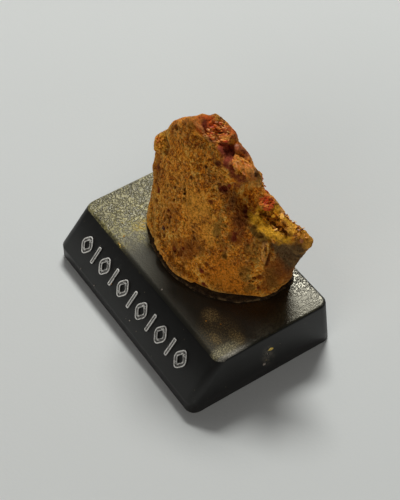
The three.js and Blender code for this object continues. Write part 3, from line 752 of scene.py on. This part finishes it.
def paintStone():
    b = Board("ochreCrust")
    near = b.vector("ADD", b.mm, b.vector("SCALE", b.drift(1.7), Scale=1.6))

    # the ochre ground: broad swells, mottling and fine grains of colour
    broad = b.noise(5.0, 3, 0.55)
    mottle = b.noise(1.7, 5, 0.66, at=near)
    fine = b.noise(0.5, 4, 0.68)
    dusty = b.noise(0.3, 3, 0.75, at=b.shift(2.0, 4.0, 6.0))
    colour = b.ramp(broad * 0.18 + mottle * 0.26 + fine * 0.33 + dusty * 0.23, stone["ramp"])

    # the crust is crumbled in zones, by curling cracks and crests
    crumbled = b.rise(b.noise(3.4, 4, 0.62, at=b.shift(31.0, 7.0, 3.0)), 0.4, 0.62)
    upright = b.vector("MULTIPLY", near, (1.0, 1.0, 0.7))
    cracks = b.veins(1.05, 0.05, upright) * b.rise(b.noise(0.8, 2, at=b.shift(9.0, 1.0, 4.0)), 0.4, 0.58)
    cracks = cracks * (0.25 + crumbled * 0.75)
    crests = b.veins(1.25, 0.06, b.shift(12.0, 5.0, 8.0, upright)) * (0.3 + crumbled * 0.7)

    # rusty clouds, and specks of realgar in them: round ones and ragged ones
    colour = b.mix(crumbled * 0.3, colour, stone["rust"])
    kind = b.node("SeparateColor", {0: b.cells(0.8, upright, "Color")})
    dots = b.fall(b.cells(0.8, upright), 0.1, 0.34) * b.rise(kind, 0.66, 0.74)
    ragged = b.rise(b.noise(0.55, 4, 0.74, at=b.shift(5.0, 11.0, 17.0, upright)), 0.55, 0.6)
    specks = b.math("MAXIMUM", dots * 0.9, ragged * (0.35 + crumbled * 0.65))
    specks = b.math("MAXIMUM", specks, cracks)
    colour = b.mix(specks * 0.85, colour, stone["speck"])
    # the crest lines are painted paler, a painted highlight
    colour = b.mix(crests * 0.4, colour, stone["crest"])

    # the stains, painted shade and painted highlights, their edges broken by the grain
    stainedAndLit = b.stored("stainsAndPaintedLight")
    share = b.stored("stainsAndPaintedLight", "Alpha")
    bitten = b.rise(share + (fine - 0.5) * 1.3 + (mottle - 0.5) * 1.0, 0.1, 0.85)
    grainy = b.rise(fine * 0.5 + dusty * 0.5, 0.42, 0.54)
    grainy = b.mix(grainy, b.mix(0.36, stainedAndLit, stone["stainGrain"]), stainedAndLit)
    colour = b.mix(bitten, colour, grainy)

    # hollows are painted darker, a painted shade, and proud crests paler, a painted highlight
    relief = b.stored("relief", "Fac")
    hollow = b.fall(relief, 0.06, 0.47) * (0.85 - share * 0.35)
    colour = b.mix(hollow, colour, b.mix(0.7, colour, stone["hollowShade"]))
    colour = b.mix(b.rise(relief, 0.55, 0.9) * (0.42 - share * 0.34), colour, stone["proudHighlight"])

    rough = 0.88 + (fine - 0.5) * 0.25
    height = fine * 0.55 + mottle * 0.35 + dusty * 0.25 - specks * 0.35 + crests * 0.3
    normal = b.bump(height, 0.7, under=b.bump(b.noise(0.16, 3, 0.7), 0.05))
    return b.shade(colour, rough, normal, **{"IOR": 1.55, "Specular IOR Level": 0.12})


crystals = {
    "thick": 0.3,  # mm
    "long": 0.8,
    "chisel": 0.55,  # the end's width against its height
    "proud": 0.08,  # mm, how far a blade's middle stands above the skin
    "followsSkin": 0.28,  # how much a blade with a lie of its own turns with the skin
    "belowTop": 0.05,  # mm that they keep below the top of the stone
    "flakeWide": 0.95,
    "flakeThick": 0.1,
    "cloud": (0.05, 0.006, 0.003),
}


def makeBlockCrystal():
    # a six-sided prism with a chisel end
    mesh.primitive_cylinder_add(vertices=6, radius=crystals["thick"] / 2 * mm,
                                        depth=crystals["long"] * mm)
    piece = openMesh()
    selectFaces(piece, lambda centre, normal: normal.z > 0.9)
    mesh.inset(thickness=0.07 * mm)
    bpy.ops.transform.translate(value=(0.04 * mm, 0, 0.16 * mm))
    bpy.ops.transform.resize(value=(crystals["chisel"], 1.0, 1.0))
    bpy.ops.object.mode_set(mode="OBJECT")
    return piece


def makeFlake():
    # a thin uneven plate
    mesh.primitive_circle_add(vertices=7, radius=crystals["flakeWide"] / 2 * mm,
                                      fill_type="NGON")
    piece = openMesh()
    mesh.extrude_region_move(
        TRANSFORM_OT_translate={"value": (0.1 * mm, 0, crystals["flakeThick"] * mm)})
    bpy.ops.transform.resize(value=(0.8, 0.66, 1.0))
    closeMesh()
    return piece


def scatter(crust, pattern, beds, name, seed, lean, spread):
    # copies of a pattern set into the skin of the beds
    dice = random.Random(seed)
    points, normals = pointsOf(crust), pointsOf(crust, "normal")
    placed = []
    for at, reach, lie, tones, count in beds:
        offset = points - leanBack(np.array([at]))
        inside = np.nonzero(np.linalg.norm(offset / np.array(reach), axis=1) < 1.0)[0]
        follow = crystals["followsSkin"] if any(lie) else 1.0
        for i in range(count if len(inside) else 0):
            spot = int(inside[dice.randrange(len(inside))])
            piece = anotherOf(pattern)
            away = Vector(normals[spot]) * follow + Vector(lie)
            away += Vector(dice.uniform(-lean, lean) for k in range(3))
            size = dice.uniform(*spread)
            piece.rotation_mode = "QUATERNION"
            piece.rotation_quaternion = (away.normalized().to_track_quat("Z", "Y")
                                         @ Quaternion((0, 0, 1), dice.uniform(0, 6.28)))
            piece.scale = (size * dice.uniform(0.6, 1.4), size, size * dice.uniform(0.7, 1.1))
            piece.location = (Vector(points[spot]) + Vector(normals[spot]) * crystals["proud"]) * mm
            tintWhole(piece, np.array(tone[dice.choice(tones)]) * dice.uniform(0.8, 1.2))
            placed.append(piece)
    bpy.data.objects.remove(pattern)
    whole = joinAll(placed, name)
    highest = cadBox[1][2] / mm - crystals["belowTop"]
    movePoints(whole, np.minimum(pointsOf(whole), (np.inf, np.inf, highest)))
    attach(whole, "root")
    print(name, "of", len(placed), "pieces")
    return whole


def makeCrystals(crust):
    bed = scatter(crust, makeBlockCrystal(), crystalBeds, "realgarCrystals", 7, 0.3, (0.5, 1.15))
    bed.data.materials.append(paintCrystals("glassyRealgar", 0.45, 0.22, 0.25))
    flakes = scatter(crust, makeFlake(), flakeBeds, "orpimentFlakes", 11, 0.7, (0.4, 0.95))
    flakes.data.materials.append(paintCrystals("pearlyOrpiment", 0.42, 0.4, 0.6))


def paintCrystals(name, rough, shine, veil):
    # the crystals' tints, the peach ones a painted highlight, clouded, under a veil of the ochre ground
    b = Board(name)
    tint = b.stored("tint")
    cloudy = b.noise(0.5, 4, 0.65)
    colour = b.mix(b.rise(cloudy, 0.48, 0.62) * 0.55, tint, b.mix(0.6, tint, crystals["cloud"]))
    ochre = b.rise(b.noise(0.9, 3, 0.6, at=b.shift(3.0, 9.0, 5.0)), 0.52, 0.64) * veil
    colour = b.mix(ochre, colour, stone["ramp"][3][1])
    normal = b.bump(b.noise(0.22, 4, 0.65), 0.1)
    return b.shade(colour, rough + (cloudy - 0.5) * 0.5, normal,
                   **{"IOR": 1.8, "Specular IOR Level": shine})


stand = {
    "black": (0.0076, 0.007, 0.0062),
    "topBlack": (0.005, 0.0046, 0.0038),
    "grainSize": 0.72,  # mm, of the leather grain on the top
    "grainDepth": 0.11,
    "topHeight": 10.5,
    "film": (0.3, 0.29, 0.26),
    "fleck": (0.34, 0.29, 0.2),
    "smudge": (0.34, 0.3, 0.22),
    "dust": (0.58, 0.52, 0.25),
    "yellowDust": (0.6, 0.5, 0.04),
    "footDust": (0.66, 0.42, 0.03),
    # dust with painted reflection and painted glare
    "goldDustAndReflection": (0.4, 0.28, 0.11),
    "cornerDustAndGlare": (0.56, 0.5, 0.28),
    "wornEdgeAndGlare": (0.5, 0.48, 0.42),
}


def makeStand():
    shell = copyNode("stand", "standShell")
    shell.data.materials.append(paintSides())
    shell.data.materials.append(paintTop())
    makeActive(shell)
    openMesh()
    lowest = (stand["topHeight"] - 0.25) * mm
    selectFaces(shell, lambda centre, normal: centre.z > lowest and normal.z > 0.6)
    shell.active_material_index = 1
    bpy.ops.object.material_slot_assign()
    bpy.ops.object.mode_set(mode="OBJECT")
    smoothShade(35)
    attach(shell, "root")
    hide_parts("stand")
    print("stand shell done")


def paintSides():
    b = Board("blackMoulding")
    film = b.rise(b.noise(1.6, 4, 0.7), 0.52, 0.78) * 0.01
    flecks = b.fall(b.cells(1.7), 0.045, 0.085) * b.rise(b.noise(5.0, 1), 0.46, 0.6)
    hairs = b.fall(b.math("ABSOLUTE", b.noise(3.0, 2, at=b.shift(7.0, 1.0, 2.0)) - 0.5), 0.002, 0.008)
    hairs = hairs * b.rise(b.noise(4.0, 2, at=b.shift(1.0, 8.0, 2.0)), 0.55, 0.65)
    colour = b.mix(film + hairs * 0.05, stand["black"], stand["film"])

    # dust caught along the upper edge, most of it left of the stone
    edge = b.height() + b.noise(0.6, 4, 0.75) * 2.4
    edge = b.rise(edge, stand["topHeight"] + 0.75, stand["topHeight"] + 1.5)
    edge = edge * b.patch((-13.0, -4.0, 10.0), (13.0, 12.0, 5.0), 0.4)
    colour = b.mix(edge * 0.16, colour, stand["dust"])
    colour = b.mix(flecks * 0.5, colour, stand["fleck"])
    smudge = b.patch((24.8, 1.4, 5.3), (1.5, 1.2, 2.2), 0.7) * b.rise(b.noise(0.8, 4, 0.7), 0.4, 0.62)
    colour = b.mix(smudge * 0.28, colour, stand["smudge"])
    normal = b.bump(b.noise(2.5, 3) * 0.4 + b.noise(0.25, 3) * 0.25, 0.012)
    rough = 0.48 + film * 4.0 + flecks * 0.3 + edge * 0.3
    return b.shade(colour, rough, normal, IOR=1.5)


def paintTop():
    b = Board("grainedTop")
    # leather grain: flat pebbles between narrow grooves, worn shallow in front and at the right
    flat = b.rise(b.height(), stand["topHeight"] - 0.1, stand["topHeight"] - 0.02)
    bent = b.vector("ADD", b.mm, b.vector("SCALE", b.drift(0.5), Scale=0.5))
    grooves = b.veins(stand["grainSize"], 0.13, bent, 1.0)
    pebbles = b.noise(stand["grainSize"] * 0.8, 2, 0.4, at=bent)
    front = b.patch((9.0, -7.5, 10.5), (22.0, 8.5, 4.0), 0.3)
    side = b.patch((25.0, 8.0, 10.5), (8.0, 9.0, 4.0), 0.4)
    grain = (pebbles * 0.2 - grooves * 0.75) * (0.35 + flat * 0.65)
    normal = b.bump(grain * (1.0 - front * 0.85) * (1.0 - side * 0.7), stand["grainDepth"])

    # ore dust: most of it left of the stone
    cloudy = b.rise(b.noise(2.6, 4, 0.62), 0.34, 0.66)
    left = b.patch((-19.0, 2.0, 10.5), (11.0, 16.0, 3.0), 0.35)
    right = b.patch((25.0, 6.0, 10.5), (4.5, 7.0, 3.0), 0.35)
    dusty = (left * 0.54 + right * 0.07) * (0.5 + cloudy * 0.5) * (1.1 - grooves * 0.9)
    yellow = b.patch((-13.0, -3.5, 10.5), (6.0, 7.0, 3.0), 0.6) * cloudy
    dust = b.mix(yellow * 0.7, stand["dust"], stand["yellowDust"])
    foot = b.patch((-12.6, -1.6, 10.5), (1.4, 2.6, 2.0), 0.6, bent) * b.rise(b.noise(0.7, 3, 0.7), 0.42, 0.56)

    # a golden smear before the stone, a blot and a ring in it: dust and a painted reflection of the stone;
    # the bright front corner and its worn edge are wear and a painted glare
    sparks = b.rise(b.noise(0.3, 3, 0.7, at=b.shift(4.0, 2.0, 9.0)), 0.5, 0.57)
    smearAndReflection = b.patch((18.9, -4.9, 10.4), (4.6, 3.4, 2.0), 0.45, bent) * (0.06 + sparks * 0.38)
    blot = b.patch((14.2, -4.2, 10.4), (1.5, 1.3, 1.5), 0.6, bent)
    ring = b.patch((21.6, -3.0, 10.4), (1.7, 1.0, 1.5), 0.6, bent)
    ring = ring + b.patch((19.4, -6.5, 10.4), (1.3, 0.8, 1.5), 0.6, bent)
    smearAndReflection = smearAndReflection + (blot + ring) * (0.18 + sparks * 0.75)
    corner = b.patch((22.7, -6.4, 10.4), (1.3, 2.7, 1.5), 0.5, bent) * (0.18 + sparks * 0.8)
    worn = b.patch((24.0, -5.9, 10.3), (0.55, 3.0, 0.8), 0.6, bent) * (0.35 + sparks * 0.65)

    colour = b.mix(dusty, stand["topBlack"], dust)
    colour = b.mix(foot * 0.6, colour, stand["footDust"])
    colour = b.mix(smearAndReflection, colour, stand["goldDustAndReflection"])
    colour = b.mix(corner, colour, stand["cornerDustAndGlare"])
    colour = b.mix(worn * 0.9, colour, stand["wornEdgeAndGlare"])
    rough = 0.27 + dusty * 0.2 + smearAndReflection * 0.3 + foot * 0.3 + side * 0.12 + front * 0.34
    return b.shade(colour, rough, normal, **{"IOR": 1.75, "Specular Tint": (1.0, 0.95, 0.76, 1.0)})


marks = {
    "count": 11,
    "first": -17.9,  # mm along the label face
    "last": 17.0,
    "upSlope": 4.65,  # mm from the lower edge of the label face to the middle of a mark
    "tall": 4.8,
    "wide": 4.0,
    "bar": 3.9,
    "stroke": 0.8,
    "raised": 0.2,
    "edge": 0.05,  # mm, of the bevel round the stroke
    "rim": 0.13,  # mm, from that bevel to the groove
    "groove": 0.16,
    "labelFoot": (-15.886, 3.1),  # y and z of the label face's lower edge
    "labelTilt": 46.98,  # degrees
    "silver": (0.9, 0.89, 0.85),
    "tarnish": (0.1, 0.097, 0.09),
    "grooveBlack": (0.016, 0.015, 0.013),
}
labelTilt = math.radians(marks["labelTilt"])


def makeLozenge():
    # a hollow lozenge frame lying flat at the origin
    mesh.primitive_circle_add(vertices=4, radius=0.5 * marks["tall"] * mm, fill_type="NGON")
    mark = openMesh()
    bpy.ops.transform.resize(value=(marks["wide"] / marks["tall"], 1, 1))
    mesh.bevel(offset=1.0 * mm, segments=5, affect="VERTICES")
    mesh.select_all(action="SELECT")
    mesh.inset(thickness=marks["stroke"] * mm)
    mesh.delete(type="FACE")
    return finishMark(mark)


def makeBar():
    mesh.primitive_plane_add(size=1)
    mark = openMesh()
    bpy.ops.transform.resize(value=(marks["stroke"] * mm, marks["bar"] * mm, 1))
    mesh.bevel(offset=0.22 * mm, segments=3, affect="VERTICES")
    return finishMark(mark)


def finishMark(mark):
    # raise the stroke, then press a groove along its middle
    mesh.select_all(action="SELECT")
    mesh.extrude_region_move(TRANSFORM_OT_translate={"value": (0, 0, marks["raised"] * mm)})
    mesh.inset(thickness=marks["edge"] * mm)
    bpy.ops.transform.translate(value=(0, 0, marks["edge"] * mm))
    mesh.inset(thickness=marks["rim"] * mm)
    mesh.inset(thickness=0.04 * mm)
    bpy.ops.transform.translate(value=(0, 0, -marks["groove"] * mm))
    closeMesh()
    smoothShade(40)
    return mark


def makeMarks():
    patterns = [makeLozenge(), makeBar()]
    foil = paintFoil()
    y, z = marks["labelFoot"]
    y += marks["upSlope"] * math.cos(labelTilt)
    z += marks["upSlope"] * math.sin(labelTilt)
    for i in range(marks["count"]):
        mark = anotherOf(patterns[i % 2])
        mark.name = f"labelMark{i + 1:02d}"
        x = marks["first"] + (marks["last"] - marks["first"]) * i / (marks["count"] - 1)
        mark.location = (x * mm, y * mm, z * mm)
        mark.rotation_euler = (labelTilt, 0, 0)
        mark.data.materials.append(foil)
        settle(mark)
        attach(mark, "root")
    for pattern in patterns:
        bpy.data.objects.remove(pattern)
    print("label marks:", marks["count"])


def paintFoil():
    b = Board("wornSilverFoil")
    # the bottom of the groove keeps the black of the stand
    raised = b.vector("DOT_PRODUCT", b.vector("SUBTRACT", b.mm, (0.0, *marks["labelFoot"])),
                      (0.0, -math.sin(labelTilt), math.cos(labelTilt)), output="Value")
    groove = b.fall(raised, marks["raised"] - 0.14, marks["raised"] - 0.02)
    worn = b.rise(b.noise(0.45, 4, 0.7), 0.44, 0.64)
    patchy = b.rise(b.noise(2.4, 2, 0.5), 0.4, 0.62)
    colour = b.mix(worn * (0.15 + patchy * 0.5), marks["silver"], marks["tarnish"])
    colour = b.mix(groove * 0.92, colour, marks["grooveBlack"])
    return b.shade(colour, 0.36 + worn * 0.3, b.bump(b.noise(0.22, 3), 0.05))


glue = {
    "brown": (0.026, 0.015, 0.008),
    "rim": (0.23, 0.15, 0.07),
    "drawnIn": 0.7,  # mm, everywhere but within reach of its tip
    "tip": (15.9, 0.7, 10.8),
    "tipReach": 5.0,
}


def makeGlue():
    pool = copyNode("glue", "gluePool")
    applyModifier(pool, "SUBSURF", levels=2, render_levels=2)
    points = pointsOf(pool)
    near = smooth(1.0 - farFrom(points, [glue["tip"], glue["tip"]]) / glue["tipReach"])
    inward = pointsOf(pool, "normal") * np.array([1.0, 1.0, 0.0])
    movePoints(pool, points - inward * (glue["drawnIn"] * (1.0 - near))[:, None])
    displace(pool, cloud("gluePull", "CLOUDS", 1.6, noise_depth=2), 0.16, 0.5)
    makeActive(pool)
    bpy.ops.object.shade_smooth()
    pool.data.materials.append(paintGlue())
    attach(pool, "root")
    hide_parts("glue")
    print("glue pool done")


def paintGlue():
    b = Board("setGlue")
    edge = b.fall(b.height(), 10.6, 10.95)
    smudge = b.rise(b.noise(0.9, 5, 0.7), 0.44, 0.6)
    colour = b.mix(smudge * (0.25 + edge * 0.55), glue["brown"], glue["rim"])
    normal = b.bump(b.noise(0.6, 4, 0.65), 0.3)
    return b.shade(colour, 0.5 + smudge * 0.25, normal, IOR=1.4)


crumbs = [  # that fell from the stone: place, width in millimetres and tone
    ((-10.8, -8.95, 10.42), 0.36, "cream"),
    ((-10.4, -9.1, 10.32), 0.26, "cream"),
    ((-11.3, -8.9, 10.44), 0.22, "straw"),
    ((-9.9, -8.6, 10.52), 0.22, "cream"),
    ((-12.2, -7.2, 10.55), 0.26, "lemon"),
    ((-15.6, -5.6, 10.55), 0.22, "cream"),
    ((3.8, -8.3, 10.52), 0.28, "ash"),
    ((15.0, -5.6, 10.55), 0.3, "straw"),
    ((17.2, -3.8, 10.55), 0.26, "straw"),
    ((24.58, 1.95, 6.55), 0.95, "cream"),
    ((24.7, 1.3, 5.8), 0.26, "ash"),
    ((24.7, 0.55, 3.45), 0.8, "ash"),
    ((24.78, 0.9, 4.4), 0.22, "cream"),
    ((-10.6, -15.86, 3.15), 0.26, "ash"),
    ((1.9, -14.96, 4.1), 0.22, "ash"),
    ((-16.0, -15.82, 3.15), 0.22, "ash"),
    ((-7.0, -13.64, 5.5), 0.2, "straw"),
]
crumbShape = (1.5, 1.0, 0.6)  # of its width
crumbLimits = ((-24.96, -15.97, 0), (24.96, 15.97, 40))  # mm, the room that they keep to


def makeCrumbs():
    # one rough grain, modelled once, then set down turned and sized
    mesh.primitive_ico_sphere_add(subdivisions=3, radius=0.5 * mm)
    grain = bpy.context.object
    displace(grain, cloud("crumbChip", "VORONOI", 0.45), 0.75, 0.6)
    displace(grain, cloud("crumbDust", "CLOUDS", 0.2), 0.3, 0.5)
    dice = random.Random(23)
    placed = []
    for at, wide, name in crumbs:
        crumb = anotherOf(grain)
        crumb.location = Vector(at) * mm
        crumb.rotation_euler = tuple(dice.uniform(0, 6.28) for k in range(3))
        crumb.scale = [share * wide for share in crumbShape]
        tintWhole(crumb, tone[name])
        placed.append(crumb)
    bpy.data.objects.remove(grain)
    whole = joinAll(placed, "oreCrumbs")
    movePoints(whole, np.clip(pointsOf(whole), *crumbLimits))
    whole.data.materials.append(paintCrystals("crumbOre", 0.7, 0.2, 0.0))
    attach(whole, "root")
    print("crumbs:", len(placed))


studio = {
    "floorWide": 2.4,  # metres
    "paper": (0.74, 0.763, 0.76),
    "paperShade": (0.52, 0.53, 0.5),
    "roomTint": (0.92, 0.97, 1.0),
    "roomLight": 0.03,
}

# the way to each light, its distance and size in metres, its power in watts and its tint
lights = {
    "window": {"way": (-0.505, 0.439, 0.743), "far": 1.0, "size": 0.4, "tall": 0.2, "power": 7.4,
               "tint": (1.0, 1.0, 0.97)},
    "halo": {"way": (-0.52, 0.4, 0.76), "far": 1.0, "size": 0.72, "power": 1.05,
             "tint": (1.0, 1.0, 0.97)},
    "fill": {"way": (0.45, -0.84, 0.3), "far": 1.2, "size": 1.1, "power": 5.1, "matt": True,
             "tint": (1.0, 0.95, 0.9)},
    "ceiling": {"way": (0.2, -0.35, 0.9), "far": 1.2, "size": 0.8, "power": 0.25,
                "tint": (1.0, 0.97, 0.95)},
}

camera = {
    "azimuth": 60.669,
    "elevation": 47.814,
    "roll": -4.644,
    "distance": 265.427,  # mm
    "target": (-8.795, 7.705, 0.0),
    "focalPixels": 1298.41,
    "longSidePixels": 500,
}


def makeFloor():
    mesh.primitive_plane_add(size=studio["floorWide"])
    floor = bpy.context.object
    floor.name = "paperFloor"
    b = Board("palePaper")
    colour = b.mix(b.noise(60.0, 3) * 0.12, studio["paper"], studio["paperShade"])
    floor.data.materials.append(b.shade(colour, 0.85, b.bump(b.noise(0.6, 3), 0.02)))


def standUp(piece, name, at, way):
    # puts a light or camera in the scene, its back towards way
    made = bpy.data.objects.new(name, piece)
    bpy.context.scene.collection.objects.link(made)
    made.location = at
    made.rotation_mode = "QUATERNION"
    made.rotation_quaternion = way.to_track_quat("Z", "Y")
    return made


def makeLight(name):
    light = lights[name]
    data = bpy.data.lights.new(name, "AREA")
    data.shape = "ELLIPSE"
    data.size = light["size"]
    data.size_y = light.get("tall", light["size"])
    data.energy = light["power"]
    data.color = light["tint"]
    way = Vector(light["way"]).normalized()
    lamp = standUp(data, name, way * light["far"], way)
    lamp.visible_glossy = not light.get("matt", False)  # a matt light isn't mirrored in gloss


def makeStudio():
    makeFloor()
    for name in lights:
        makeLight(name)
    world = bpy.data.worlds.new("studioRoom")
    world.use_nodes = True
    background = world.node_tree.nodes["Background"]
    background.inputs["Color"].default_value = (*studio["roomTint"], 1.0)
    background.inputs["Strength"].default_value = studio["roomLight"]
    bpy.context.scene.world = world
    bpy.context.scene.view_settings.view_transform = "Standard"


def makeCamera():
    data = bpy.data.cameras.new("benchCamera")
    data.sensor_width = 36.0
    data.lens = camera["focalPixels"] * data.sensor_width / camera["longSidePixels"]
    data.clip_start = 0.01
    turn, lift = math.radians(camera["azimuth"]), math.radians(camera["elevation"])
    back = Vector((math.sin(turn) * math.cos(lift), -math.cos(turn) * math.cos(lift), math.sin(lift)))
    at = (Vector(camera["target"]) + back * camera["distance"]) * mm
    eye = standUp(data, "benchCamera", at, back)
    eye.rotation_quaternion @= Quaternion((0, 0, 1), math.radians(camera["roll"]))
    bpy.context.scene.camera = eye


makeCamera()
makeStudio()
print("studio ready")
makeCrystals(makeStone())
makeStand()
makeGlue()
makeMarks()
makeCrumbs()
